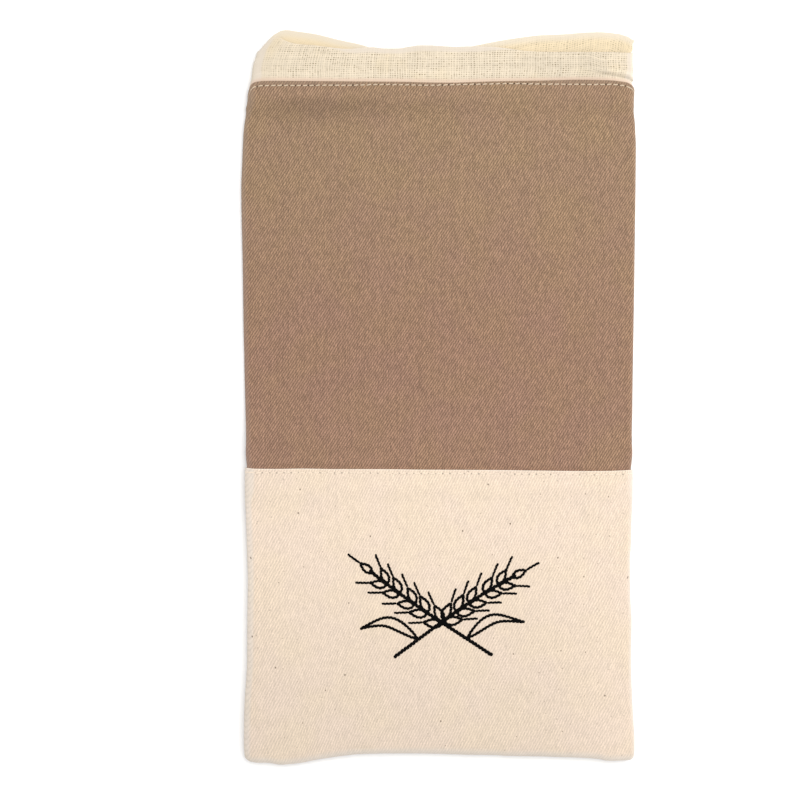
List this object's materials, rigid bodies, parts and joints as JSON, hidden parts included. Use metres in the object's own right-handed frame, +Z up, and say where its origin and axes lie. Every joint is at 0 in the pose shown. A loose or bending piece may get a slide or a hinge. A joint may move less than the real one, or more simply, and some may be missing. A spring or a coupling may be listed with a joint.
{
  "type": "bread bag",
  "caption": "Soft cloth bread bag with a cream body, a taupe band and a pale muslin neck, lying flat with its sides and bottom folded under.",
  "frame": {"origin": "middle of the folded bag's box, on the surface it lies on", "axes": "+X to the right of the bag's face, +Y towards its mouth, +Z up out of its face"},
  "size_m": [0.2093, 0.3892, 0.0151],
  "materials": {
    "cream_twill": "unbleached cream twill with small dark flecks, matt",
    "taupe_twill": "taupe brown twill with fine slanting ribs, matt",
    "cream_muslin": "open plain weave muslin, unbleached, matt"
  },
  "bodies": {
    "root": {"body": "cream_twill", "band": "taupe_twill", "neck": "cream_muslin"}
  },
  "joints": []
}
